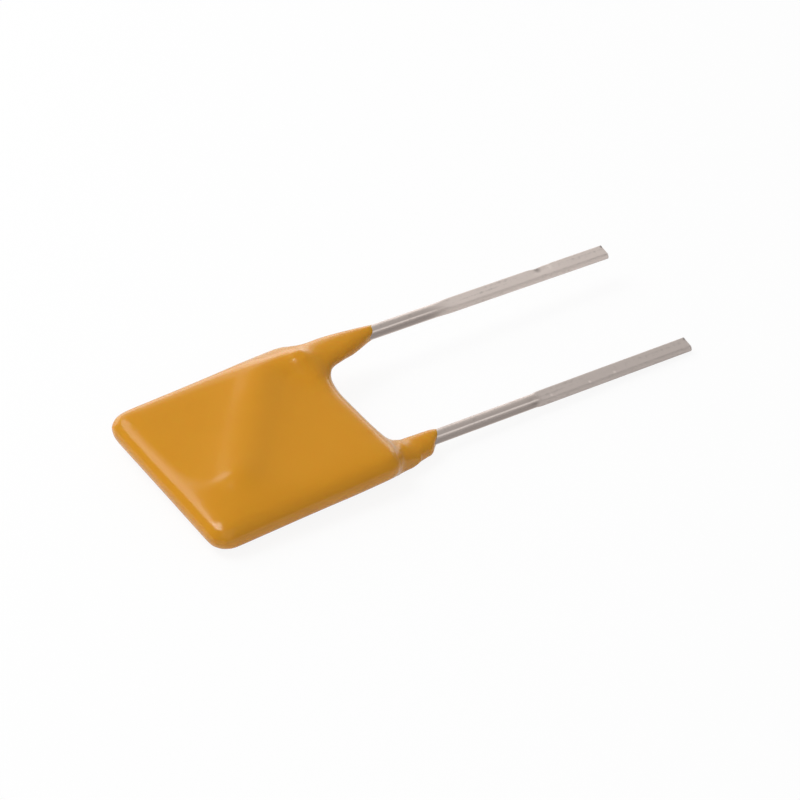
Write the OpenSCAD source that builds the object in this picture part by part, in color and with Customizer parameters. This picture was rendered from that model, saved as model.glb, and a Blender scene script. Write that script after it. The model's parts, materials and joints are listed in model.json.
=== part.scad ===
// Resettable fuse with two wire leads: a thin square chip of conductive polymer between two metal foils,
// a bent wire soldered across each foil, and a dipped coating that runs a little way down both wires.
// Modelled about the middle of the chip, with the leads along +Y, and then laid down as it comes to rest.

/* [Chip] */
// Width of the chip, across the leads
chip_w = 6.9; // [5.5:0.1:9]
// Length of the chip, along the leads
chip_l = 6.8; // [5.5:0.1:9]
// Thickness of the conductive polymer sheet
ptc_t = 0.3; // [0.2:0.02:0.6]
// Thickness of each metal foil
foil_t = 0.035; // [0.02:0.005:0.08]

/* [Leads] */
// Diameter of the tinned wire
wire_d = 0.51; // [0.4:0.01:0.64]
// Distance between the two leads
pitch = 5.1; // [4.4:0.1:5.6]
// Reach of each lead from the end of the body to its tip
lead_l = 12.9; // [8:0.1:20]
// Angle by which the leads dip below the plane of the body
droop = 4.4; // [1:0.1:8]
// Distance of the bend in the wire from the middle of the chip
bend_y = 1.8; // [1:0.1:2.4]
// Angle between the soldered tail and the lead end of the chip
tail_angle = 39; // [30:1:50]
// Length of the soldered tail, measured from the corner of the bend
tail_l = 5.5; // [4.5:0.1:6]
// Radius of the bend, at the middle of the wire
bend_r = 0.8; // [0.6:0.05:1.2]
// Slant of the sheared tip
tip_slant = 15; // [0:1:30]

/* [Solder] */
// Solder between the wire and the foil
solder_film = 0.02; // [0.01:0.01:0.05]
// Width of the solder bead on the foil
solder_w = 1.1; // [0.9:0.05:1.5]
// Width of the solder bead at its top, where it ends on the sides of the wire
solder_top_w = 0.7; // [0.66:0.02:0.8]
// Height of the solder bead up the sides of the wire
solder_h = 0.2; // [0.12:0.02:0.24]

/* [Coating] */
// Thickness of the coating on the faces of the chip
coat_face = 0.33; // [0.25:0.01:0.5]
// Thickness of the coating at the edges of the chip
coat_edge = 0.4; // [0.3:0.01:0.6]
// Thickness of the coating on top of the wires
coat_wire = 0.2; // [0.1:0.01:0.3]
// Radius of the coating's corners, seen from above
corner_r = 0.78; // [0.6:0.02:1.2]
// Distance from the tail at which the ridge over it has half its height
tail_ridge_w = 0.8; // [0.5:0.05:1]
// Distance from the straight wire at which the ridge over it has half its height
run_ridge_w = 0.6; // [0.5:0.05:1]
// Distance from the edge of the body within which the ridges fade out
ridge_fade = 1; // [0.6:0.05:1.3]
// Reach of the coating down the upper lead, from the end of the body
upper_leg_l = 2.64; // [1.6:0.02:3.6]
// Reach of the coating down the lower lead, from the end of the body
lower_leg_l = 1.93; // [1.6:0.01:3.6]
// Coating below the wire at the end of the upper leg
upper_drip = 0.06; // [0.05:0.01:0.25]
// Coating below the wire at the end of the lower leg
lower_drip = 0.18; // [0.05:0.01:0.25]
// Coating above the wire at the end of each leg
leg_skin = 0.04; // [0.035:0.005:0.1]
// Half width of the upper leg where it leaves the body
upper_root_w = 0.8; // [0.55:0.01:1]
// Half width of the lower leg where it leaves the body
lower_root_w = 0.67; // [0.55:0.01:1]
// Half height of each leg where it leaves the body
root_h = 0.38; // [0.37:0.01:0.5]
// Depth of the legs' roots below the ridges
root_sink = 0.05; // [0:0.01:0.08]
// Distance by which the upper leg leans to one side where it leaves the body
upper_lean = 0.16; // [0:0.01:0.3]
// Distance by which the lower leg leans to the same side
lower_lean = 0.26; // [0:0.01:0.3]
// Fullness of the upper leg: 1 is a straight taper and more is a bullet
upper_bulge = 1.7; // [1.2:0.1:2.5]
// Fullness of the lower leg
lower_bulge = 2.2; // [1.2:0.1:2.5]
// Width over which the legs blend into the body on their outer sides
outer_web = 0.2; // [0.1:0.05:0.4]
// Width over which the legs blend into the body on the sides that face each other
notch_web = 0.7; // [0.2:0.05:0.9]
// Distance across each leg over which the one width changes into the other
web_change = 0.5; // [0.3:0.05:1]
// Rounding of each leg's end
leg_round = 0.1; // [0.05:0.01:0.15]
// Gap left in the coating round the pieces that it covers
bond_gap = 0.01; // [0.005:0.005:0.03]
// Spacing of the samples from which the coating's skin is drawn
skin_step = 0.24; // [0.2:0.01:0.3]

/* [Hidden] */

$fn = 48;
wire_r = wire_d / 2;
chip_t = ptc_t + 2 * foil_t;
coat_w = chip_w + 2 * coat_edge;
coat_l = chip_l + 2 * coat_edge;
coat_t = chip_t + 2 * coat_face;
end_y = coat_l / 2;
knee_y = chip_l / 2;

// Height of the wires from the middle of the chip, and of the ridge that the coating makes over them
wire_z = chip_t / 2 + solder_film + wire_r;
ridge_h = wire_z + wire_r + coat_wire - coat_t / 2;

// Route of the upper wire, seen from above: the end of its tail, its corner and the bend between them
turn = 90 - tail_angle;
corner = [-pitch / 2, bend_y];
tail_end = corner + tail_l * [cos(tail_angle), -sin(tail_angle)];
bend_cut = bend_r * tan(turn / 2);
under_w = 0.8 * wire_d;

// Bends are drawn with this many steps, lap over the straight wire and are upset a little there
elbow_steps = 12;
elbow_lap = 0.04;
elbow_swell = 0.005;

// Each wire dips in a long bend that ends with its coated leg, and leaves the leg straight
function knee_l(reach) = end_y + reach - knee_y;
function knee_r(reach) = knee_l(reach) / sin(droop);
function knee_drop(reach) = knee_l(reach) * tan(droop / 2);
function bare_l(reach) = (lead_l - reach) / cos(droop);

// Coated legs: an oval root inside the body, just below the ridge, and a round end that hangs below the wire
function leg_root(side, sway) =
    [side * pitch / 2 + sway, knee_y, -side * (coat_t / 2 + ridge_h - root_sink - root_h)];
function leg_end_r(drip) = wire_r + bond_gap + (leg_skin + drip) / 2;
function leg_end(side, reach, drip) =
    [side * pitch / 2, end_y + reach, -side * wire_z - knee_drop(reach) - (drip - leg_skin) / 2];

// Field of the coating: negative inside, positive outside
function blend(a, b, width) = let (h = max(width - abs(a - b), 0) / width) min(a, b) - h * h * width / 4;
function along(p, a, b) = (p - a) * (b - a) / ((b - a) * (b - a));
function limit(t) = min(max(t, 0), 1);
function from_line(p, a, b) = norm(p - a - limit(along(p, a, b)) * (b - a));
function from_ridge(p) =
    let (run_end = [corner.x, coat_l])
    min(from_line(p, corner, tail_end) / tail_ridge_w, from_line(p, corner, run_end) / run_ridge_w);
function from_outline(x, y) =
    let (u = abs(x) - coat_w / 2 + corner_r, v = abs(y) - coat_l / 2 + corner_r)
    norm([max(u, 0), max(v, 0)]) + min(max(u, v), 0) - corner_r;
function face_height(x, y) =
    let (fade = sin(90 * limit(-from_outline(x, y) / ridge_fade)))
    coat_t / 2 + ridge_h * fade / (1 + pow(from_ridge([x, y]), 2));
function slab_field(p) =
    let (swell = face_height(p.z > 0 ? p.x : -p.x, p.y) / (coat_t / 2))
    norm([max(from_outline(p.x, p.y) + coat_t / 2, 0), p.z / swell]) - coat_t / 2;
function leg_field(p, side, reach, drip, root_w, sway, bulge) =
    let (
        a = leg_root(side, sway),
        b = leg_end(side, reach, drip),
        t = along(p, a, b),
        d = p - a - limit(t) * (b - a),
        taper = pow(limit(t), bulge),
        w = root_w + (leg_end_r(drip) - root_w) * taper,
        h = root_h + (leg_end_r(drip) - root_h) * taper
    )
    -blend(h - h * norm([d.x / w, d.y / h, d.z / h]), (1 - t) * norm(b - a), leg_round);
function coat_field(p) =
    let (
        upper = leg_field(p, -1, upper_leg_l, upper_drip, upper_root_w, upper_lean, upper_bulge),
        lower = leg_field(p, 1, lower_leg_l, lower_drip, lower_root_w, lower_lean, lower_bulge),
        inward = limit(0.5 - (abs(p.x) - pitch / 2) / web_change)
    )
    blend(slab_field(p), min(upper, lower), outer_web + (notch_web - outer_web) * inward);

// Skin of the coating: one vertex in each cell of a grid that the surface crosses, moved onto the surface
skin_reach = max(upper_leg_l, lower_leg_l);
skin_margin = 1.4 * skin_step;
skin_high = [
    coat_w / 2 + skin_margin,
    end_y + skin_reach + skin_margin,
    coat_t / 2 + ridge_h + tan(droop) * skin_reach + skin_margin
];
skin_low = [-skin_high.x, -end_y - skin_margin, -skin_high.z];
skin_cells = [for (i = [0:2]) ceil((skin_high[i] - skin_low[i]) / skin_step)];
slope_step = 0.001;
corners = [for (x = [0, 1], y = [0, 1], z = [0, 1]) [x, y, z]];
cell_edges = [for (a = corners, b = corners) if (norm(b - a) == 1 && b * [1, 1, 1] > a * [1, 1, 1]) [a, b]];
axes = [[1, 0, 0], [0, 1, 0], [0, 0, 1]];
function skin_point(c) = skin_low + skin_step * c;
function sum(list, i = 0) = i == len(list) - 1 ? list[i] : list[i] + sum(list, i + 1);
function slope(p, f) = [for (a = axes) coat_field(p + slope_step * a) - f] / slope_step;
function settle(p, steps = 3) =
    steps == 0 ? p : let (f = coat_field(p), g = slope(p, f)) settle(p - f * g / (g * g), steps - 1);

module coating_skin() {
    n = skin_cells;
    s = [for (x = [0:n.x]) [for (y = [0:n.y]) [for (z = [0:n.z]) coat_field(skin_point([x, y, z]))]]];
    function sample(c) = s[c.x][c.y][c.z];
    function inside(c) = sample(c) < 0;
    function crossed(c) = let (k = [for (a = corners) if (inside(c + a)) 1]) len(k) > 0 && len(k) < 8;
    function cross_point(a, b) = skin_point(a + (b - a) * sample(a) / (sample(a) - sample(b)));
    function vertex(c) =
        let (hits = [
            for (e = cell_edges)
                let (a = c + e[0], b = c + e[1])
                if (inside(a) != inside(b)) cross_point(a, b)
        ])
        settle(sum(hits) / len(hits));
    cells = [for (x = [0:n.x - 1], y = [0:n.y - 1], z = [0:n.z - 1]) [x, y, z]];
    used = [for (c = cells) crossed(c) ? 1 : 0];
    number = [for (i = 0, k = 0; i < len(used); k = k + used[i], i = i + 1) k];
    function index(c) = number[(c.x * n.y + c.y) * n.z + c.z];
    quads = [
        for (i = [0:2])
            let (a = axes[i], u = axes[(i + 1) % 3], v = axes[(i + 2) % 3])
            for (c = cells)
                if (inside(c) != inside(c + a))
                    let (q = [index(c - u - v), index(c - v), index(c), index(c - u)])
                    inside(c) ? q : [q[3], q[2], q[1], q[0]]
    ];
    points = [for (i = [0:len(cells) - 1]) if (used[i] == 1) vertex(cells[i])];
    function off(a, b) = abs(coat_field((points[a] + points[b]) / 2));
    function halves(q) =
        off(q[0], q[2]) < off(q[1], q[3])
            ? [[q[0], q[2], q[1]], [q[0], q[3], q[2]]]
            : [[q[0], q[3], q[1]], [q[1], q[3], q[2]]];
    polyhedron(points, [for (q = quads) each halves(q)]);
}

// Rest: the fuse lies on the tip of its lower lead, the bump over its lower tail, and the point below its
// lower wire that a straight edge from that tip meets first
function underside(x, y, low, high, steps = 20) =
    let (mid = (low + high) / 2)
    steps == 0 ? mid :
    coat_field([x, y, mid]) < 0
        ? underside(x, y, low, mid, steps - 1)
        : underside(x, y, mid, high, steps - 1);
function lean(p) = (p.z - rest_tip.z) / (p.y - rest_tip.y);
function first_met(list, i = 0) =
    i == len(list) - 1 ? list[i] :
    let (rest = first_met(list, i + 1)) lean(list[i]) > lean(rest) ? list[i] : rest;
rest_tip = [pitch / 2, end_y + lower_leg_l, -wire_z - knee_drop(lower_leg_l)]
    + bare_l(lower_leg_l) * [0, cos(droop), -sin(droop)]
    - wire_r * [0, sin(droop), cos(droop)];
rest_bump = [-tail_end.x, tail_end.y, -coat_t / 2 - ridge_h];
rest_belly = first_met([
    for (y = [bend_y:skin_step / 2:end_y + lower_leg_l])
        [pitch / 2, y, underside(pitch / 2, y, skin_low.z, -wire_z)]
]);
up = cross(rest_tip - rest_bump, rest_belly - rest_bump);
rest_pitch = atan2(up.y * sign(up.z), abs(up.z));
rest_roll = atan2(-up.x * sign(up.z), norm([up.y, up.z]));
function pitched(p) = [
    p.x, p.y * cos(rest_pitch) - p.z * sin(rest_pitch), p.y * sin(rest_pitch) + p.z * cos(rest_pitch)
];
function rolled(p) = [
    p.x * cos(rest_roll) + p.z * sin(rest_roll), p.y, p.z * cos(rest_roll) - p.x * sin(rest_roll)
];
function laid(p) = rolled(pitched(p));
rest_shift = -[0, (laid(rest_tip).y + laid([0, -end_y, 0]).y) / 2, laid(rest_tip).z];

module laid_down() {
    translate(rest_shift) rotate([rest_pitch, rest_roll, 0]) children();
}

// Wire along its own axis, as it lies over the chip: tail, bend, run, knee and bare lead
module wire(r, reach) {
    run_y = bend_y + bend_cut;
    translate([-pitch / 2, 0, 0]) {
        translate([bend_r, run_y, 0]) rotate(180) {
            elbow(r, bend_r, turn);
            rotate(turn) translate([bend_r, 0, 0]) rod(r, tail_l - bend_cut);
        }
        translate([0, run_y, 0]) rod(r, knee_y - run_y);
        translate([0, knee_y, -knee_r(reach)]) rotate([0, 90, 0]) rotate(180 - droop)
            elbow(r, knee_r(reach), droop);
    }
    at_leg_end(reach) rod(r, bare_l(reach));
}

module rod(r, length) {
    rotate([-90, 0, 0]) cylinder(h = length, r = r);
}

module elbow(r, radius, angle) {
    lap = elbow_lap / radius * 180 / PI;
    rotate(-lap) rotate_extrude(angle = angle + 2 * lap, $fn = elbow_steps * 360 / angle)
        translate([radius, 0]) circle(r + elbow_swell, $fn = 48);
}

// Puts a piece where the upper wire leaves its coated leg, along the bare lead
module at_leg_end(reach) {
    translate([-pitch / 2, end_y + reach, -knee_drop(reach)]) rotate([-droop, 0, 0]) children();
}

// Wire with the top of its tip sheared off at a slant
module lead(reach) {
    difference() {
        wire(wire_r, reach);
        at_leg_end(reach) translate([0, bare_l(reach), -wire_r]) rotate([tip_slant, 0, 0])
            translate([-wire_d, 0, -wire_d]) cube([2 * wire_d, 2 * wire_d, 4 * wire_d]);
    }
}

// Solder bead along the tail, on a foil at height 0
module bead(grow = 0) {
    half = solder_w / 2 + grow;
    shoulder = solder_top_w / 2 + grow;
    top = solder_h + 2 * grow;
    length = tail_l - 2 * bend_cut;
    translate([corner.x, corner.y, -grow]) rotate(-tail_angle) translate([2 * bend_cut - grow, 0, 0])
        rotate([90, 0, 90]) linear_extrude(length + 2 * grow)
            polygon([[-half, 0], [half, 0], [shoulder, top], [-shoulder, top]]);
}

module solder() {
    difference() {
        translate([0, 0, chip_t / 2]) bead();
        translate([0, 0, wire_z]) wire(wire_r, upper_leg_l);
    }
}

// Everything that the coating covers
module covered() {
    translate([-chip_w / 2, -chip_l / 2, -chip_t / 2] - [1, 1, 1] * bond_gap)
        cube([chip_w, chip_l, chip_t] + [2, 2, 2] * bond_gap);
    under_wire();
    mirror([1, 0, 0]) mirror([0, 0, 1]) under_wire();
    translate([0, 0, chip_t / 2]) bead(bond_gap);
    translate([0, 0, -chip_t / 2]) mirror([1, 0, 0]) mirror([0, 0, 1]) bead(bond_gap);
    translate([0, 0, wire_z]) wire(wire_r + bond_gap, upper_leg_l);
    translate([0, 0, -wire_z]) mirror([1, 0, 0]) wire(wire_r + bond_gap, lower_leg_l);
}

// Space between the upper wire and its foil, which the coating doesn't reach
module under_wire() {
    translate([corner.x, corner.y, 0]) {
        translate([-under_w / 2, -under_w / 2, 0])
            cube([under_w, under_w / 2 + chip_l / 2 + 2 * bond_gap - bend_y, wire_z]);
        rotate(-tail_angle) translate([0, -under_w / 2, 0]) cube([3 * bend_cut, under_w, wire_z]);
    }
}

module foil(height) {
    translate([-chip_w / 2, -chip_l / 2, height]) cube([chip_w, chip_l, foil_t]);
}

module epoxy_coating() {
    color("goldenrod") laid_down() difference() {
        coating_skin();
        covered();
    }
}

module ptc_sheet() {
    color("#242424") laid_down()
        translate([-chip_w / 2, -chip_l / 2, -ptc_t / 2]) cube([chip_w, chip_l, ptc_t]);
}

module upper_foil() {
    color("lightgray") laid_down() foil(ptc_t / 2);
}

module lower_foil() {
    color("lightgray") laid_down() foil(-ptc_t / 2 - foil_t);
}

module upper_solder() {
    color("darkgray") laid_down() solder();
}

module lower_solder() {
    color("darkgray") laid_down() mirror([1, 0, 0]) mirror([0, 0, 1]) solder();
}

module upper_lead() {
    color("silver") laid_down() translate([0, 0, wire_z]) lead(upper_leg_l);
}

module lower_lead() {
    color("silver") laid_down() translate([0, 0, -wire_z]) mirror([1, 0, 0]) lead(lower_leg_l);
}

epoxy_coating();
ptc_sheet();
upper_foil();
lower_foil();
upper_solder();
lower_solder();
upper_lead();
lower_lead();
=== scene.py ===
"""Looks of a resettable fuse: a dipped amber coating and two bare tinned leads, lying on a white table.

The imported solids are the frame. The coating's skin and the leads are remade from copies of their solids.
The sealed chip inside keeps its solids and gets its finishes.
Sizes are in millimetres until they meet a mesh.
"""

import json
import logging
import math
from dataclasses import dataclass
from enum import Enum
from typing import Any, Optional, Union

import bmesh
import bpy
from bmesh.types import BMEdge, BMesh, BMFace, BMVert
from mathutils import Matrix, Vector
from mathutils.bvhtree import BVHTree

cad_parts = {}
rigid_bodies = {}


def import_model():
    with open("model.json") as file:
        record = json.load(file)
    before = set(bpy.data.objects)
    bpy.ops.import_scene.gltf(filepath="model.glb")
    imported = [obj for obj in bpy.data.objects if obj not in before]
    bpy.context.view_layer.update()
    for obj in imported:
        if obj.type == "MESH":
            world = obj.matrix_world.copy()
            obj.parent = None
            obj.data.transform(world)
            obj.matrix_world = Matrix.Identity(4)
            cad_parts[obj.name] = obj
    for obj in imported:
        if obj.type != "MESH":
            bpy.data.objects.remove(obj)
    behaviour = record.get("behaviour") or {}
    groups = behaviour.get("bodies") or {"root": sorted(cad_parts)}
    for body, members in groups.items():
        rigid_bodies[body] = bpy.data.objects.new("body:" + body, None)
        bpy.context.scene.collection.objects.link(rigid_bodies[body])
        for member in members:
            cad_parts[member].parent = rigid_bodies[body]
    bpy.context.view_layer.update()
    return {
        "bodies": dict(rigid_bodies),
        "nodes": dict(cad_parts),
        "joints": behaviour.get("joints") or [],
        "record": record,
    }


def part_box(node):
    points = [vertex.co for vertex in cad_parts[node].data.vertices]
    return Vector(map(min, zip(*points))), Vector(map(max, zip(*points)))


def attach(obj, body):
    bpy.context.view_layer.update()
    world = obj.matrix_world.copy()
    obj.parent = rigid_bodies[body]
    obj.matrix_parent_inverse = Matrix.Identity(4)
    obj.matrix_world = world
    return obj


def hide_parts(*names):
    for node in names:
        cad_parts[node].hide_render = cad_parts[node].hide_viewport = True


MM = 0.001
MERGE_GAP = 0.0001
NOISE_MIDDLE = 0.5
BODY = "root"
LOG = logging.getLogger("resettable_fuse")

Colour = tuple[float, float, float, float]
Number = Union[float, "Signal"]


class Signal:
    """A socket of a shader graph that takes part in Python expressions."""

    def __init__(self, graph: "Graph", socket: bpy.types.NodeSocket) -> None:
        """Keep the socket and the graph that it belongs to."""
        self.graph = graph
        self.socket = socket

    def other(self, output: str) -> "Signal":
        """Give another output of the node that this signal comes from."""
        return Signal(self.graph, self.socket.node.outputs[output])

    def __add__(self, number: Number) -> "Signal":
        """Add a number or another signal."""
        return self.graph.math("ADD", self, number)

    def __mul__(self, number: Number) -> "Signal":
        """Multiply by a number or another signal."""
        return self.graph.math("MULTIPLY", self, number)

    def __sub__(self, number: Number) -> "Signal":
        """Take away a number or another signal."""
        return self.graph.math("SUBTRACT", self, number)

    def __rsub__(self, number: float) -> "Signal":
        """Take this signal away from a number."""
        return self.graph.math("SUBTRACT", number, self)

    def __or__(self, number: Number) -> "Signal":
        """Give the larger of the two."""
        return self.graph.math("MAXIMUM", self, number)

    __radd__ = __add__
    __rmul__ = __mul__
    __ror__ = __or__


class Graph:
    """The node tree of a material or of the world."""

    def __init__(self, tree: bpy.types.NodeTree) -> None:
        """Start with an empty tree."""
        self.tree = tree
        tree.nodes.clear()

    def node(
        self,
        kind: str,
        settings: Optional[dict[str, Any]] = None,
        inputs: Optional[dict[Union[str, int], Any]] = None,
        output: Union[str, int] = 0,
    ) -> Optional[Signal]:
        """Add one node.

        Args:
            kind: The node's type, without its ShaderNode prefix.
            settings: Properties of the node, set before its sockets.
            inputs: A value or a signal for each input socket, by name or number.
            output: The output socket to return, by name or number.

        Returns:
            That output as a signal, or nothing for a node without outputs.
        """
        made = self.tree.nodes.new("ShaderNode" + kind)
        for name, value in (settings or {}).items():
            setattr(made, name, value)
        for name, value in (inputs or {}).items():
            if isinstance(value, Signal):
                self.tree.links.new(value.socket, made.inputs[name])
            else:
                made.inputs[name].default_value = value
        return Signal(self, made.outputs[output]) if made.outputs else None

    def math(self, operation: str, first: Number, second: Number = 0.0) -> Signal:
        """Run one or two values through a Math node."""
        return self.node("Math", {"operation": operation}, {0: first, 1: second})

    def mix(self, share: Number, first: Any, second: Any) -> Signal:
        """Mix two colours, where a share of 1 gives the second one."""
        return self.node("Mix", {"data_type": "RGBA"}, {0: share, 6: first, 7: second}, output=2)

    def ramp(self, value: Signal, low: float, high: float) -> Signal:
        """Rise smoothly from 0 to 1 as a value goes from low to high."""
        settings = {"interpolation_type": "SMOOTHSTEP"}
        return self.node("MapRange", settings, {"Value": value, "From Min": low, "From Max": high})

    def noise(self, place: Signal, grain: float, detail: float = 2.0) -> Signal:
        """Make soft noise whose grains are this many millimetres across."""
        return self.node("TexNoise", None, {"Vector": place, "Scale": 1.0 / (grain * MM), "Detail": detail})

    def stretch(self, place: Signal, amounts: tuple[float, float, float]) -> Signal:
        """Scale a place along each axis, which draws a pattern out along the axes with small amounts."""
        return self.node("VectorMath", {"operation": "MULTIPLY"}, {0: place, 1: amounts})


class Finish:
    """A surface that makes its own material."""

    title: str

    def surface(self, graph: Graph) -> Signal:
        """Give the shader of this surface, made in the material's graph."""
        raise NotImplementedError

    def material(self) -> bpy.types.Material:
        """Make the material.

        Returns:
            The finished material.
        """
        made = bpy.data.materials.new(self.title)
        made.use_nodes = True
        graph = Graph(made.node_tree)
        graph.node("OutputMaterial", None, {"Surface": self.surface(graph)})
        return made


@dataclass(frozen=True)
class DippedEpoxy(Finish):
    """Glossy pigmented epoxy that a dip has left a little uneven."""

    title: str = "dipped_epoxy"
    deep: Colour = (0.600, 0.250, 0.004, 1.0)
    pale: Colour = (0.640, 0.275, 0.007, 1.0)
    cloud: float = 2.4
    pigment: float = 0.07
    pigment_detail: float = 1.0
    pigment_share: float = 0.3
    peel: float = 0.9
    peel_height: float = 0.002
    smooth: float = 0.14
    dull: float = 0.18
    refraction: float = 1.45
    gloss: float = 0.5
    seep: float = 0.25
    seep_reach: tuple[float, float, float] = (0.15, 0.06, 0.015)

    def surface(self, graph: Graph) -> Signal:
        """Mix the pigment's clouds and specks, and let the skin ripple.

        Args:
            graph: The material's graph.

        Returns:
            The epoxy's shader.
        """
        place = graph.node("TexCoord", output="Object")
        cloud = graph.noise(place, self.cloud)
        specks = graph.noise(place, self.pigment, self.pigment_detail)
        tone = cloud * (1.0 - self.pigment_share) + specks * self.pigment_share
        ripple = graph.noise(place, self.peel)
        bump_inputs = {"Height": ripple, "Strength": 1.0, "Distance": self.peel_height * MM}
        return graph.node("BsdfPrincipled", None, {
            "Base Color": graph.mix(tone, self.deep, self.pale),
            "Roughness": self.smooth + (self.dull - self.smooth) * cloud,
            "Normal": graph.node("Bump", None, bump_inputs),
            "IOR": self.refraction,
            "Specular IOR Level": self.gloss,
            "Subsurface Weight": self.seep,
            "Subsurface Radius": self.seep_reach,
            "Subsurface Scale": MM,
        })


@dataclass(frozen=True)
class TinnedWire(Finish):
    """Drawn wire with a tin plating that is bright near the body and matt further out."""

    title: str
    start: tuple[float, float, float]
    dip: float
    matt_from: float
    matt_blur: float
    matt: Colour
    nicks: tuple["Nick", ...]
    bright: Colour = (0.72, 0.63, 0.58, 1.0)
    # Pale colour of the painted highlight lines and of the painted glints at some nicks.
    line: Colour = (0.95, 0.85, 0.79, 1.0)
    # Dark colour of the random scratches and flecks, of the painted shade stripes and of the darker nick
    # spots.
    worn: Colour = (0.36, 0.31, 0.285, 1.0)
    # Angles round the wire of the painted highlight lines, in degrees from the top.
    line_angles: tuple[float, ...] = (50.0, 150.0, 250.0)
    line_width: float = 9.0
    # The painted shade stripes lie this many degrees round from each painted highlight.
    track_turn: float = 40.0
    track_width: float = 34.0
    streak: tuple[float, float, float] = (9.0, 0.25, 9.0)
    grain: float = 1.0
    fleck: float = 0.16
    scratch_share: float = 0.6
    wear_range: tuple[float, float] = (0.5, 0.75)
    wear_strength: float = 0.5
    bright_roughness: float = 0.5
    matt_roughness: float = 0.6
    matt_metal: float = 0.4
    draw_depth: float = 0.003

    def surface(self, graph: Graph) -> Signal:
        """Change the plating along the wire, paint highlight lines with shade stripes beside them and
        glints at some nicks, and draw fine scratches down it.

        Args:
            graph: The material's graph.

        Returns:
            The wire's shader.
        """
        place = graph.node("Mapping", {"vector_type": "TEXTURE"}, {
            "Vector": graph.node("TexCoord", output="Object"),
            "Location": self.start,
            "Rotation": (self.dip, 0.0, 0.0),
        })
        across = graph.node("SeparateXYZ", None, {"Vector": place}, output="X")
        around = graph.math("ARCTAN2", across, across.other("Z"))
        scratches = graph.noise(graph.stretch(place, self.streak), self.grain)
        flecks = graph.noise(place, self.fleck)
        edge = across.other("Y") * (1.0 / MM) + (flecks - NOISE_MIDDLE) * self.matt_blur
        matt = graph.ramp(edge, self.matt_from - self.matt_blur, self.matt_from + self.matt_blur)
        # Painted highlight lines, on the inner part of the wire only.
        highlight_lines = self._stripes(graph, around, 0.0, self.line_width) * (1.0 - matt)
        # Painted shade stripes beside them, also on the inner part only.
        shade_stripes = self._stripes(graph, around, self.track_turn, self.track_width) * (1.0 - matt)
        # Painted glints at the plain nicks, and darker spots at the darkened ones.
        glints = self._spots(graph, place, scraped=False)
        scraped = self._spots(graph, place, scraped=True)
        # The plating's tone, with the painted highlight lines and glints mixed in.
        plating = graph.mix(highlight_lines | glints, graph.mix(matt, self.bright, self.matt), self.line)
        grime = scratches * self.scratch_share + flecks * (1.0 - self.scratch_share)
        # Random scratches and flecks, with the painted shade stripes and the darker nick spots mixed in.
        wear_and_shade = (graph.ramp(grime, *self.wear_range) * self.wear_strength) | shade_stripes | scraped
        soft = highlight_lines | matt
        bump_inputs = {"Height": scratches, "Strength": 1.0, "Distance": self.draw_depth * MM}
        return graph.node("BsdfPrincipled", None, {
            "Base Color": graph.mix(wear_and_shade, plating, self.worn),
            "Roughness": self.bright_roughness + (self.matt_roughness - self.bright_roughness) * soft,
            "Metallic": 1.0 - (1.0 - self.matt_metal) * soft,
            "Normal": graph.node("Bump", None, bump_inputs),
        })

    def _spots(self, graph: Graph, place: Signal, scraped: bool) -> Number:
        """Paint a spot on the plating at each nick: a painted glint at the plain nicks, and a darker spot
        at the darkened ones.

        Args:
            graph: The material's graph.
            place: The place in the wire's own frame.
            darkened: Whether to give the darkened nicks, or else the nicks with a painted glint.

        Returns:
            The nick's tone in the middle of each nick and 0 outside them.
        """
        spots: Number = 0.0
        for nick in (nick for nick in self.nicks if nick.scraped == scraped):
            ends = {0: place, 1: nick.point}
            away = graph.node("VectorMath", {"operation": "DISTANCE"}, ends, "Value")
            spots = graph.ramp(away, nick.width * MM, 0.0) * nick.tone | spots
        return spots

    def _stripes(self, graph: Graph, around: Signal, turn: float, width: float) -> Signal:
        """Run a stripe down the wire at a turn from each painted highlight: a turn of 0 gives the highlight
        lines themselves, and a larger one the painted shade stripes beside them.

        Args:
            graph: The material's graph.
            around: The angle round the wire.
            turn: Degrees from each painted highlight to its stripe.
            width: Half width of the stripes, in degrees.

        Returns:
            1 in the middle of each stripe and 0 outside them.
        """
        stripes: Number = 0.0
        for angle in self.line_angles:
            facing = graph.math("COSINE", around - math.radians(angle + turn))
            stripes = stripes | graph.ramp(facing, math.cos(math.radians(width)), 1.0)
        return stripes


@dataclass(frozen=True)
class ConductivePolymer(Finish):
    """Black polymer filled with carbon."""

    title: str = "conductive_polymer"
    black: Colour = (0.012, 0.012, 0.013, 1.0)
    grey: Colour = (0.035, 0.035, 0.036, 1.0)
    grain: float = 0.05
    roughness: float = 0.7

    def surface(self, graph: Graph) -> Signal:
        """Grain the black with its filler.

        Args:
            graph: The material's graph.

        Returns:
            The polymer's shader.
        """
        filler = graph.noise(graph.node("TexCoord", output="Object"), self.grain)
        return graph.node("BsdfPrincipled", None, {
            "Base Color": graph.mix(filler, self.black, self.grey),
            "Roughness": self.roughness,
        })


@dataclass(frozen=True)
class DullMetal(Finish):
    """Plain metal with a cloudy surface: the nickel of the foils, or reflowed solder."""

    title: str
    dark: Colour
    light: Colour
    grain: float
    smooth: float
    dull: float
    detail: float = 4.0

    def surface(self, graph: Graph) -> Signal:
        """Cloud the metal's tone and its polish together.

        Args:
            graph: The material's graph.

        Returns:
            The metal's shader.
        """
        cloud = graph.noise(graph.node("TexCoord", output="Object"), self.grain, self.detail)
        return graph.node("BsdfPrincipled", None, {
            "Base Color": graph.mix(cloud, self.dark, self.light),
            "Roughness": self.smooth + (self.dull - self.smooth) * cloud,
            "Metallic": 1.0,
        })


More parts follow.
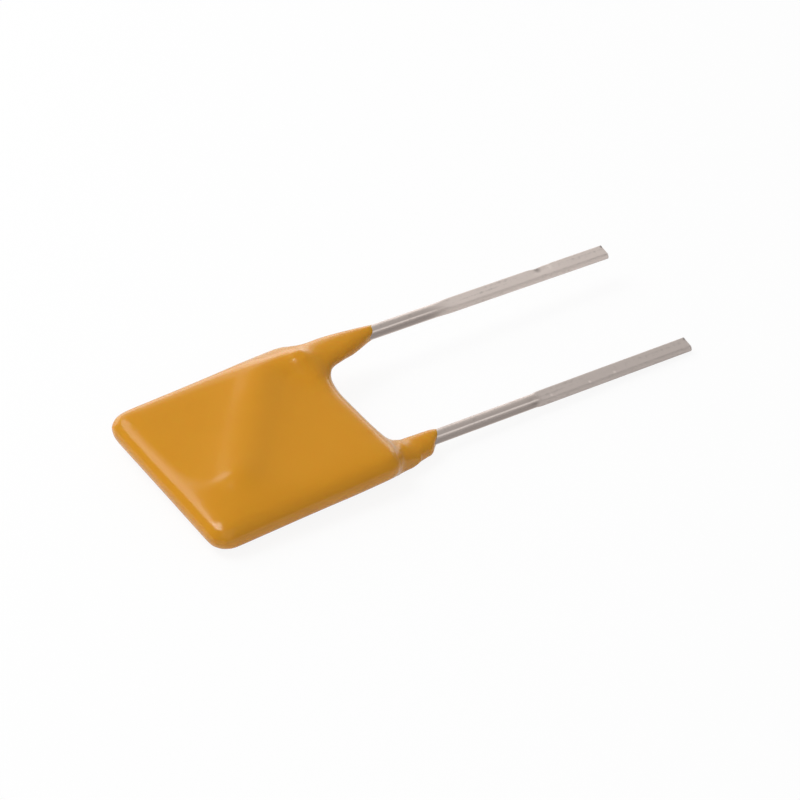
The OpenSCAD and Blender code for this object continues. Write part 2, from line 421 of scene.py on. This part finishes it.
@dataclass(frozen=True)
class WhiteTable(Finish):
    """White table top that keeps a faint shadow."""

    title: str = "white_table"
    white: Colour = (0.9, 0.9, 0.9, 1.0)
    glow: Colour = (1.0, 1.0, 1.0, 1.0)
    shadow: float = 0.1
    mirrored_shadow: float = 0.5

    def surface(self, graph: Graph) -> Signal:
        """Glow white to the eye and less so in reflections, and scatter plain light otherwise.

        Args:
            graph: The material's graph.

        Returns:
            The table's shader.
        """
        path = graph.node("LightPath", output="Is Camera Ray")
        mirrored = path.other("Is Glossy Ray") | path.other("Is Transmission Ray")
        seen = path * (1.0 - self.shadow) + mirrored * (1.0 - self.mirrored_shadow)
        plain = graph.node("BsdfDiffuse", None, {"Color": self.white})
        glow = graph.node("Emission", None, {"Color": self.glow, "Strength": 1.0})
        return graph.node("MixShader", None, {0: seen, 1: plain, 2: glow})


class Layer(Enum):
    """The face of the chip that a lead is soldered to."""

    UPPER = "upper"
    LOWER = "lower"

    @property
    def node(self) -> str:
        """Name the solid of this lead."""
        return f"{self.value}_lead"


@dataclass(frozen=True)
class BareWire:
    """The straight wire from the end of a coated leg to the tip of the lead."""

    start: Vector
    axis: Vector
    radius: float
    length: float

    @classmethod
    def of(cls, record: dict[str, Any], layer: Layer) -> "BareWire":
        """Read a lead's straight wire from the frame.

        Args:
            record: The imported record, whose pin mounts are the bare leads.
            layer: Which lead.

        Returns:
            The straight wire, in metres.
        """
        mount = next(m for m in record["mounts"] if m["name"] == f"{layer.node}_end")
        start = Vector(mount["pos_m"])
        axis = Vector(mount["axis"]).normalized()
        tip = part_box(layer.node)[1].y
        return cls(start, axis, mount["dims"]["r_mm"] * MM, (tip - start.y) / axis.y)

    @property
    def dip(self) -> float:
        """Angle by which the wire points down, as a turn about X."""
        return math.asin(self.axis.z)

    def at(self, along: float) -> Vector:
        """Give the point on the axis this far from the start, in metres."""
        return self.start + along * self.axis

    def place(self, along: float) -> Matrix:
        """Give the wire's own frame, with Y along it and Z up from it.

        Args:
            along: Metres from the start to the frame's origin.

        Returns:
            The frame.
        """
        side = self.axis.cross(Vector((0.0, 0.0, 1.0))).normalized()
        turn = Matrix((side, self.axis, side.cross(self.axis))).transposed()
        return Matrix.Translation(self.at(along)) @ turn.to_4x4()

    def outward(self, around: float) -> Vector:
        """Give the way straight out of the wire, at an angle in degrees round it from the top."""
        turn = math.radians(around)
        return self.place(0.0).to_3x3() @ Vector((math.sin(turn), 0.0, math.cos(turn)))

    def from_axis(self, point: Vector) -> Vector:
        """Give the way from the axis straight out to a point."""
        way = point - self.start
        return way - way.dot(self.axis) * self.axis


def extruded(bm: BMesh, edges: list[BMEdge]) -> tuple[list[BMEdge], list[BMVert]]:
    """Extrude a loop of edges where it lies.

    Args:
        bm: The mesh.
        edges: The loop.

    Returns:
        The edges and the vertices of the new loop.
    """
    made = bmesh.ops.extrude_edge_only(bm, edges=edges)["geom"]
    verts = [item for item in made if isinstance(item, BMVert)]
    fresh = set(verts)
    loop = [item for item in made if isinstance(item, BMEdge) and fresh.issuperset(item.verts)]
    return loop, verts


def merged_copy(node: bpy.types.Object) -> BMesh:
    """Copy a solid's mesh and merge its loose triangles.

    Args:
        node: The solid's object, which stays as it is.

    Returns:
        The merged copy.
    """
    bm = bmesh.new()
    bm.from_mesh(node.data)
    bmesh.ops.remove_doubles(bm, verts=bm.verts, dist=MERGE_GAP * MM)
    return bm


def finished(name: str, bm: BMesh, finish: Finish, node: str) -> bpy.types.Object:
    """Turn a closed mesh into a piece that stands for a solid.

    Args:
        name: The piece's name.
        bm: The mesh, which is used up.
        finish: Its finish.
        node: The solid that it stands for.

    Returns:
        The piece, riding on the body.
    """
    bmesh.ops.recalc_face_normals(bm, faces=bm.faces)
    mesh = bpy.data.meshes.new(name)
    bm.to_mesh(mesh)
    bm.free()
    mesh.shade_smooth()
    mesh.materials.append(finish.material())
    piece = bpy.data.objects.new(name, mesh)
    bpy.context.scene.collection.objects.link(piece)
    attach(piece, BODY)
    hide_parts(node)
    LOG.info("%s stands for %s with %d faces", name, node, len(mesh.polygons))
    return piece


def settle(bm: BMesh, verts: list[BMVert], rounds: int) -> None:
    """Let a part of a mesh run smooth.

    Args:
        bm: The mesh.
        verts: The vertices that may move.
        rounds: How often each of them moves halfway to the middle of its neighbours.
    """
    for _ in range(rounds):
        bmesh.ops.smooth_vert(
            bm, verts=verts, factor=0.5, use_axis_x=True, use_axis_y=True, use_axis_z=True
        )


def clamped(share: float) -> float:
    """Keep a share between 0 and 1."""
    return min(max(share, 0.0), 1.0)


def above_zero(value: float, blend: float) -> float:
    """Give a value where it is above 0, and about 0 elsewhere, with a soft start as wide as the blend."""
    return 0.5 * (value + math.hypot(value, blend))


@dataclass(frozen=True)
class Hollow:
    """A place on the coating where the dip has run together before it set."""

    centre: tuple[float, float, float]
    reach: float
    rounds: int
    shells: tuple[float, ...] = (0.4, 0.55, 0.7, 0.8, 0.9, 1.0)

    def fill(self, bm: BMesh) -> None:
        """Smooth the skin round this place, in shells from the inside out.

        Args:
            bm: The skin.
        """
        centre = Vector(self.centre) * MM
        for shell in self.shells:
            reach = self.reach * shell * MM
            inside = [vert for vert in bm.verts if (vert.co - centre).length < reach]
            settle(bm, inside, self.rounds // len(self.shells))


@dataclass(frozen=True)
class Web:
    """A slope of pooled epoxy from the upper face down to the top of a leg."""

    middle: float
    reach: tuple[float, float]
    top: tuple[float, float]
    slope: float
    blend: float = 0.16
    fade: float = 0.4
    facing: float = 2.0

    def fill(self, bm: BMesh) -> None:
        """Raise the skin that faces up to the slope.

        Args:
            bm: The skin.
        """
        bm.normal_update()
        lifts = []
        for vert in bm.verts:
            x, y, z = vert.co / MM
            near = clamped((self.reach[1] - abs(x - self.middle)) / (self.reach[1] - self.reach[0]))
            past = clamped(1.0 + (y - self.top[0]) / self.fade)
            share = near * clamped(self.facing * vert.normal.z) * past
            over = self.top[1] - self.slope * max(y - self.top[0], 0.0) - z
            lifts.append((vert, share * above_zero(over, self.blend)))
        for vert, lift in lifts:
            vert.co.z += lift * MM


@dataclass(frozen=True)
class Pool:
    """A corner that the dip has filled."""

    centre: tuple[float, float, float]
    reach: float
    lift: float

    def fill(self, bm: BMesh) -> None:
        """Push the skin out round this place.

        Args:
            bm: The skin.
        """
        bm.normal_update()
        centre = Vector(self.centre) * MM
        for vert in bm.verts:
            away = (vert.co - centre).length / (self.reach * MM)
            vert.co += self.lift * MM * math.exp(-away * away) * vert.normal


@dataclass(frozen=True)
class Pillow:
    """The gentle fall of the upper face towards the edges of the slab."""

    low: tuple[float, float] = (-3.85, -10.27)
    high: tuple[float, float] = (3.85, -2.65)
    reach: float = 1.2
    drop: float = 0.10
    fade: float = 0.4
    leg: float = -2.55
    leg_reach: tuple[float, float] = (0.5, 1.2)

    def press(self, bm: BMesh) -> None:
        """Lower the skin that faces up, most at the edges.

        Args:
            bm: The skin.
        """
        bm.normal_update()
        falls = []
        for vert in bm.verts:
            x, y, _ = vert.co / MM
            beside = (abs(x - self.leg) - self.leg_reach[0]) / (self.leg_reach[1] - self.leg_reach[0])
            across = self._share(min(x - self.low[0], self.high[0] - x))
            end = self._share(self.high[1] - y) * clamped(beside)
            along = max(end, self._share(y - self.low[1]))
            open_end = clamped(1.0 - (y - self.high[1]) / self.fade)
            share = (across + along - across * along) * open_end
            falls.append((vert, share * max(vert.normal.z, 0.0)))
        for vert, share in falls:
            vert.co.z -= self.drop * MM * share

    def _share(self, inside: float) -> float:
        """Give the share of the fall at a distance inside an edge."""
        return clamped(1.0 - inside / self.reach) ** 2


@dataclass(frozen=True)
class Nose:
    """The end of a coated leg, where a fullness of 1 is a straight taper and more is a bullet."""

    length: float
    fullness: float


@dataclass
class Coating:
    """The dipped coating: its outer skin, with each leg closed down onto its wire."""

    finish: DippedEpoxy
    web: Web
    pool: Pool
    hollows: tuple[Hollow, ...]
    pillow: Pillow
    noses: tuple[Nose, ...]
    bore_gap: float = 0.022
    flat_angle: float = 50.0
    levels: int = 2
    rounds: int = 8
    end_slant: float = 24.0
    nose_end: float = -0.05
    nose_steps: int = 10
    bite: float = 0.005
    tuck: float = 0.2

    def build(self, frame: dict[str, Any], wires: list[BareWire]) -> bpy.types.Object:
        """Make the skin.

        Args:
            frame: The loaded frame.
            wires: The bare leads that come out of the legs.

        Returns:
            The coating's piece.
        """
        bm = merged_copy(frame["nodes"]["epoxy_coating"])
        leads = [BVHTree.FromBMesh(merged_copy(frame["nodes"][layer.node])) for layer in Layer]
        skin = self._skin(bm, leads)
        bmesh.ops.delete(bm, geom=[face for face in bm.faces if face not in skin], context="FACES")
        angle = math.radians(self.flat_angle)
        bmesh.ops.join_triangles(
            bm, faces=bm.faces, angle_face_threshold=angle, angle_shape_threshold=angle
        )
        smooth = self._smoothed(bm)
        for wire, nose in zip(wires, self.noses):
            self._close_leg(smooth, wire, nose)
        return finished("coating_skin", smooth, self.finish, "epoxy_coating")

    def _skin(self, bm: BMesh, leads: list[BVHTree]) -> set[BMFace]:
        """Find the faces outside, which end where the wires' bores begin.

        Args:
            bm: The whole coating, with the bores and the space for the chip.
            leads: The surfaces of the wires.

        Returns:
            The faces of the outer skin.
        """
        gap = self.bore_gap * MM
        near = {vert for vert in bm.verts if min(lead.find_nearest(vert.co)[3] for lead in leads) < gap}
        first = max(bm.verts, key=lambda vert: vert.co.z).link_faces[0]
        skin = {first}
        front = [first]
        while front:
            for edge in front.pop().edges:
                others = [face for face in edge.link_faces if face not in skin]
                fresh = [face for face in others if not near.issuperset(face.verts)]
                skin.update(fresh)
                front.extend(fresh)
        return skin

    def _smoothed(self, bm: BMesh) -> BMesh:
        """Subdivide the skin, and let the dip pool and run together on it.

        Args:
            bm: The coarse skin, which is used up.

        Returns:
            The fine skin.
        """
        mesh = bpy.data.meshes.new("coarse_skin")
        bm.to_mesh(mesh)
        bm.free()
        coarse = bpy.data.objects.new("coarse_skin", mesh)
        bpy.context.scene.collection.objects.link(coarse)
        smooth = coarse.modifiers.new("smooth_skin", "SUBSURF")
        smooth.levels = self.levels
        smooth.render_levels = self.levels
        fine = bmesh.new()
        fine.from_object(coarse, bpy.context.evaluated_depsgraph_get())
        bpy.data.objects.remove(coarse)
        bpy.data.meshes.remove(mesh)
        settle(fine, list(fine.verts), self.rounds)
        self.web.fill(fine)
        self.pool.fill(fine)
        for hollow in self.hollows:
            hollow.fill(fine)
        self.pillow.press(fine)
        return fine

    def _close_leg(self, bm: BMesh, wire: BareWire, nose: Nose) -> None:
        """Cut one leg near its end, at a slant, and run it down onto its wire in a nose.

        Args:
            bm: The skin.
            wire: The wire that comes out of the leg.
            nose: The form of the leg's end.
        """
        slant = math.radians(self.end_slant)
        leg = [face for face in bm.faces if face.calc_center_median().x * wire.start.x > 0.0]
        edges = list(dict.fromkeys(edge for face in leg for edge in face.edges))
        verts = list(dict.fromkeys(vert for face in leg for vert in face.verts))
        cut = bmesh.ops.bisect_plane(
            bm,
            geom=leg + edges + verts,
            plane_co=wire.at((self.nose_end - nose.length) * MM),
            plane_no=wire.place(0.0).to_3x3() @ Vector((math.sin(slant), math.cos(slant), 0.0)),
            clear_outer=True,
        )
        loop = [item for item in cut["geom_cut"] if isinstance(item, BMEdge)]
        climb = nose.length / self.nose_steps * MM
        left = [1.0 - (step / self.nose_steps) ** nose.fullness for step in range(self.nose_steps + 1)]
        for before, after in zip(left, left[1:]):
            shrink = 1.0 - after / before
            loop, ring = extruded(bm, loop)
            for vert in ring:
                out = wire.from_axis(vert.co)
                spare = out.length - wire.radius + self.bite * MM
                vert.co -= out.normalized() * spare * shrink
            bmesh.ops.translate(bm, verts=ring, vec=climb * wire.axis)
        for edge in loop:
            edge.smooth = False
        loop, ring = extruded(bm, loop)
        bmesh.ops.translate(bm, verts=ring, vec=-self.tuck * MM * wire.axis)
        bmesh.ops.edgeloop_fill(bm, edges=loop)


@dataclass(frozen=True)
class Nick:
    """A small dent that handling has left in a wire."""

    along: float
    around: float
    width: float
    depth: float
    # Darkened nicks get a darker spot on the plating, and the others a painted glint.
    scraped: bool = False
    tone: float = 0.6
    out: float = 0.22

    @property
    def point(self) -> tuple[float, float, float]:
        """Give the dent's middle in the wire's own frame, in metres."""
        turn = math.radians(self.around)
        return self.out * math.sin(turn) * MM, self.along * MM, self.out * math.cos(turn) * MM

    def press(self, wire: BareWire, verts: list[BMVert]) -> None:
        """Push the wire's surface in round the dent.

        Args:
            wire: The bare wire.
            verts: The vertices of its surface.
        """
        way = wire.outward(self.around)
        centre = wire.at(self.along * MM) + wire.radius * way
        for vert in verts:
            fade = math.exp(-((vert.co - centre).length / (self.width * MM)) ** 2)
            vert.co -= wire.from_axis(vert.co).normalized() * self.depth * MM * fade


@dataclass(frozen=True)
class Flat:
    """A flat that the forming tool has pressed along the outer part of a wire."""

    start: float
    blur: float
    around: float = 18.0
    depth: float = 0.08
    spread: float = 0.12

    def press(self, wire: BareWire, verts: list[BMVert]) -> None:
        """Push the wire's surface down to the flat, and its sides out.

        Args:
            wire: The bare wire.
            verts: The vertices of its surface.
        """
        way = wire.outward(self.around)
        for vert in verts:
            along = (vert.co - wire.start).dot(wire.axis) / MM
            share = clamped((along - self.start) / self.blur)
            level = wire.radius - self.depth * MM * share
            height = wire.from_axis(vert.co).dot(way)
            sideways = wire.from_axis(vert.co) - height * way
            vert.co += self.spread * share * sideways - max(height - level, 0.0) * way


@dataclass
class Lead:
    """One lead: the soldered wire as it is, and a bare wire with a flat, nicks and a sheared tip."""

    layer: Layer
    flat: Flat
    matt: Colour
    nicks: tuple[Nick, ...] = ()
    sides: int = 48
    ring_step: float = 0.12
    root: float = 0.6
    tip_slant: float = 15.0
    tip_drag: float = 0.012

    def build(self, frame: dict[str, Any], wire: BareWire) -> bpy.types.Object:
        """Make the lead.

        Args:
            frame: The loaded frame.
            wire: Its straight wire.

        Returns:
            The lead's piece.
        """
        bm = merged_copy(frame["nodes"][self.layer.node])
        loop, ring = self._new_root(bm, wire)
        reach = wire.length + self.root * MM
        steps = round(reach / (self.ring_step * MM))
        bare = list(ring)
        for _ in range(steps):
            loop, ring = extruded(bm, loop)
            bmesh.ops.translate(bm, verts=ring, vec=reach / steps * wire.axis)
            bare.extend(ring)
        self.flat.press(wire, bare)
        for nick in self.nicks:
            nick.press(wire, bare)
        self._shear_tip(bm, wire, loop, ring)
        finish = TinnedWire(
            title=f"tinned_wire_{self.layer.value}",
            start=tuple(wire.start),
            dip=wire.dip,
            matt_from=self.flat.start,
            matt_blur=self.flat.blur,
            matt=self.matt,
            nicks=self.nicks,
        )
        return finished(f"{self.layer.value}_wire", bm, finish, self.layer.node)

    def _new_root(self, bm: BMesh, wire: BareWire) -> tuple[list[BMEdge], list[BMVert]]:
        """Cut the solid's lead inside its leg and start a rounder wire there.

        Args:
            bm: The whole lead.
            wire: Its straight wire.

        Returns:
            The edges and the vertices of the new wire's first ring.
        """
        root = -self.root * MM
        everything = list(bm.verts) + list(bm.edges) + list(bm.faces)
        cut = bmesh.ops.bisect_plane(
            bm, geom=everything, plane_co=wire.at(root), plane_no=wire.axis, clear_outer=True
        )
        rim = [item for item in cut["geom_cut"] if isinstance(item, BMEdge)]
        stand = wire.place(root) @ Matrix.Rotation(math.radians(-90.0), 4, "X")
        ring = bmesh.ops.create_circle(bm, segments=self.sides, radius=wire.radius, matrix=stand)["verts"]
        loop = list(dict.fromkeys(edge for vert in ring for edge in vert.link_edges))
        bmesh.ops.bridge_loops(bm, edges=rim + loop)
        return loop, ring

    def _shear_tip(self, bm: BMesh, wire: BareWire, loop: list[BMEdge], ring: list[BMVert]) -> None:
        """Slant the last ring as the cutter left it, and close it with a dragged edge.

        Args:
            bm: The lead.
            wire: Its straight wire.
            loop: The edges of the last ring.
            ring: The vertices of the last ring.
        """
        place = wire.place(wire.length)
        shear = Matrix.Identity(4)
        shear[1][2] = -math.tan(math.radians(self.tip_slant))
        shear[1][3] = shear[1][2] * wire.radius
        bmesh.ops.transform(bm, verts=ring, matrix=place @ shear @ place.inverted())
        loop, ring = extruded(bm, loop)
        rounder = 1.0 - self.tip_drag * MM / wire.radius
        bmesh.ops.scale(bm, verts=ring, vec=(rounder, rounder, rounder), space=place.inverted())
        for edge in loop:
            edge.smooth = False
        bmesh.ops.edgeloop_fill(bm, edges=loop)


@dataclass
class SealedChip:
    """The pieces inside the coating, which keep their solids."""

    polymer: Finish
    foil: Finish
    solder: Finish

    def dress(self, frame: dict[str, Any]) -> None:
        """Give each inner solid its finish.

        Args:
            frame: The loaded frame.
        """
        groups = {
            self.polymer: ("ptc_sheet",),
            self.foil: ("upper_foil", "lower_foil"),
            self.solder: ("upper_solder", "lower_solder"),
        }
        for finish, names in groups.items():
            material = finish.material()
            for name in names:
                mesh = frame["nodes"][name].data
                mesh.materials.clear()
                mesh.materials.append(material)
                LOG.info("%s has the finish %s", name, finish.title)


@dataclass(frozen=True)
class Softbox:
    """A rectangular lamp that faces the fuse."""

    name: str
    azimuth: float
    elevation: float
    width: float
    height: float
    glow: float
    distance: float = 150.0

    def build(self) -> None:
        """Hang the lamp. Its glow is how bright it looks, where 1 is white."""
        lamp = bpy.data.lights.new(self.name, "AREA")
        lamp.shape = "RECTANGLE"
        lamp.size = self.width * MM
        lamp.size_y = self.height * MM
        lamp.energy = self.glow * math.pi * lamp.size * lamp.size_y
        stand = bpy.data.objects.new(self.name, lamp)
        stand.matrix_world = orbit(self.azimuth, self.elevation, 0.0, self.distance, Vector())
        bpy.context.scene.collection.objects.link(stand)


def orbit(azimuth: float, elevation: float, roll: float, distance: float, aim: Vector) -> Matrix:
    """Place something that looks at a point from round it.

    Args:
        azimuth: Degrees round from the end of the body, towards +X.
        elevation: Degrees above the table.
        roll: Degrees turned about its own view.
        distance: Millimetres from the point.
        aim: The point, in millimetres.

    Returns:
        Its place, in metres.
    """
    turn = (
        Matrix.Rotation(math.radians(azimuth), 4, "Z")
        @ Matrix.Rotation(math.radians(90.0 - elevation), 4, "X")
        @ Matrix.Rotation(math.radians(roll), 4, "Z")
    )
    back = turn @ Vector((0.0, 0.0, distance))
    return Matrix.Translation((aim + back) * MM) @ turn


@dataclass(frozen=True)
class PhotoCamera:
    """The camera of the photograph."""

    azimuth: float = 55.803
    elevation: float = 36.747
    roll: float = 1.061
    distance: float = 102.209
    aim: tuple[float, float, float] = (1.945, -1.892, 2.220)
    lens: float = 135.0
    sensor: float = 36.0

    def build(self) -> None:
        """Set the camera up and make it the scene's."""
        data = bpy.data.cameras.new("photo_camera")
        data.lens = self.lens
        data.sensor_width = self.sensor
        data.clip_start = MM
        camera = bpy.data.objects.new("photo_camera", data)
        aim = Vector(self.aim)
        camera.matrix_world = orbit(self.azimuth, self.elevation, self.roll, self.distance, aim)
        bpy.context.scene.collection.objects.link(camera)
        bpy.context.scene.camera = camera


@dataclass
class Studio:
    """The white table, the lamps, the grey room round them and the camera."""

    table: WhiteTable
    camera: PhotoCamera
    lamps: tuple[Softbox, ...]
    room: float = 0.4
    table_reach: float = 900.0

    def build(self) -> None:
        """Set the studio up round the fuse."""
        bm = bmesh.new()
        bmesh.ops.create_grid(bm, x_segments=1, y_segments=1, size=self.table_reach * MM)
        mesh = bpy.data.meshes.new("table")
        bm.to_mesh(mesh)
        bm.free()
        mesh.materials.append(self.table.material())
        table = bpy.data.objects.new("table", mesh)
        bpy.context.scene.collection.objects.link(table)
        world = bpy.data.worlds.new("room")
        world.use_nodes = True
        graph = Graph(world.node_tree)
        grey = (self.room, self.room, self.room, 1.0)
        graph.node("OutputWorld", None, {"Surface": graph.node("Background", None, {"Color": grey})})
        bpy.context.scene.world = world
        for lamp in self.lamps:
            lamp.build()
        self.camera.build()
        bpy.context.scene.view_settings.view_transform = "Standard"
        LOG.info("studio with %d lamps", len(self.lamps))


def main() -> None:
    """Build the fuse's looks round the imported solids."""
    logging.basicConfig(level=logging.INFO, format="%(message)s")
    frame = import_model()

    leads = (
        Lead(
            Layer.UPPER,
            Flat(start=2.6, blur=0.6),
            # Paler than the lower lead's matt tone of the same plating: painted light on the upper lead.
            matt=(0.74, 0.65, 0.60, 1.0),
            # The first nick is darkened, and the second carries a painted glint.
            nicks=(
                Nick(along=7.15, around=-22.0, width=0.22, depth=0.05, scraped=True, tone=0.9),
                Nick(along=7.65, around=-8.0, width=0.18, depth=0.03),
            ),
        ),
        Lead(
            Layer.LOWER,
            Flat(start=4.1, blur=0.15),
            matt=(0.60, 0.525, 0.485, 1.0),
            # Each of these nicks carries a painted glint.
            nicks=(
                Nick(along=3.95, around=52.0, width=0.15, depth=0.05),
                Nick(along=4.7, around=48.0, width=0.09, depth=0.04),
                Nick(along=6.36, around=58.0, width=0.09, depth=0.04),
                Nick(along=7.47, around=48.0, width=0.1, depth=0.04),
            ),
        ),
    )
    wires = {lead.layer: BareWire.of(frame["record"], lead.layer) for lead in leads}
    Coating(
        DippedEpoxy(),
        web=Web(middle=2.7, reach=(0.1, 0.95), top=(-2.95, 1.36), slope=0.7),
        pool=Pool(centre=(3.2, -2.5, 0.85), reach=0.45, lift=0.17),
        hollows=(
            # Bends of the upper and the lower ridge
            Hollow(centre=(-2.2, -4.4, 1.8), reach=1.4, rounds=36),
            Hollow(centre=(2.3, -4.5, 0.1), reach=1.3, rounds=60),
            # Roots of the lower and the upper leg
            Hollow(centre=(2.75, -2.65, 1.1), reach=0.95, rounds=180),
            Hollow(centre=(3.2, -2.5, 0.85), reach=0.65, rounds=120),
            Hollow(centre=(-2.9, -2.55, 1.3), reach=0.75, rounds=80),
            # Flank of the upper ridge, and the upper face as a whole
            Hollow(centre=(-1.3, -4.7, 1.65), reach=0.9, rounds=60),
            Hollow(centre=(-0.5, -6.1, 1.55), reach=1.2, rounds=120),
            Hollow(centre=(0.5, -7.3, 1.45), reach=1.2, rounds=120),
            Hollow(centre=(-0.3, -6.3, 1.2), reach=4.2, rounds=36),
        ),
        pillow=Pillow(),
        noses=(Nose(length=1.1, fullness=1.3), Nose(length=0.45, fullness=2.2)),
    ).build(frame, list(wires.values()))
    for lead in leads:
        lead.build(frame, wires[lead.layer])
    SealedChip(
        polymer=ConductivePolymer(),
        foil=DullMetal(
            "nickel_foil",
            dark=(0.50, 0.47, 0.43, 1.0),
            light=(0.64, 0.61, 0.57, 1.0),
            grain=0.08,
            smooth=0.38,
            dull=0.55,
        ),
        solder=DullMetal(
            "reflowed_solder",
            dark=(0.52, 0.52, 0.53, 1.0),
            light=(0.68, 0.68, 0.69, 1.0),
            grain=0.3,
            smooth=0.2,
            dull=0.4,
        ),
    ).dress(frame)
    Studio(
        table=WhiteTable(),
        camera=PhotoCamera(),
        lamps=(
            Softbox("key", azimuth=-30.0, elevation=59.0, width=80.0, height=80.0, glow=5.8),
            Softbox("fill", azimuth=60.0, elevation=45.0, width=150.0, height=150.0, glow=0.3),
            Softbox("strip", azimuth=-66.0, elevation=42.0, width=97.0, height=40.0, glow=2.2),
            Softbox("wall", azimuth=-110.0, elevation=8.0, width=300.0, height=60.0, glow=1.6),
            Softbox(
                "haze", azimuth=-108.0, elevation=25.0, width=300.0, height=40.0, glow=0.65, distance=155.0
            ),
        ),
    ).build()


if __name__ == "__main__":
    main()
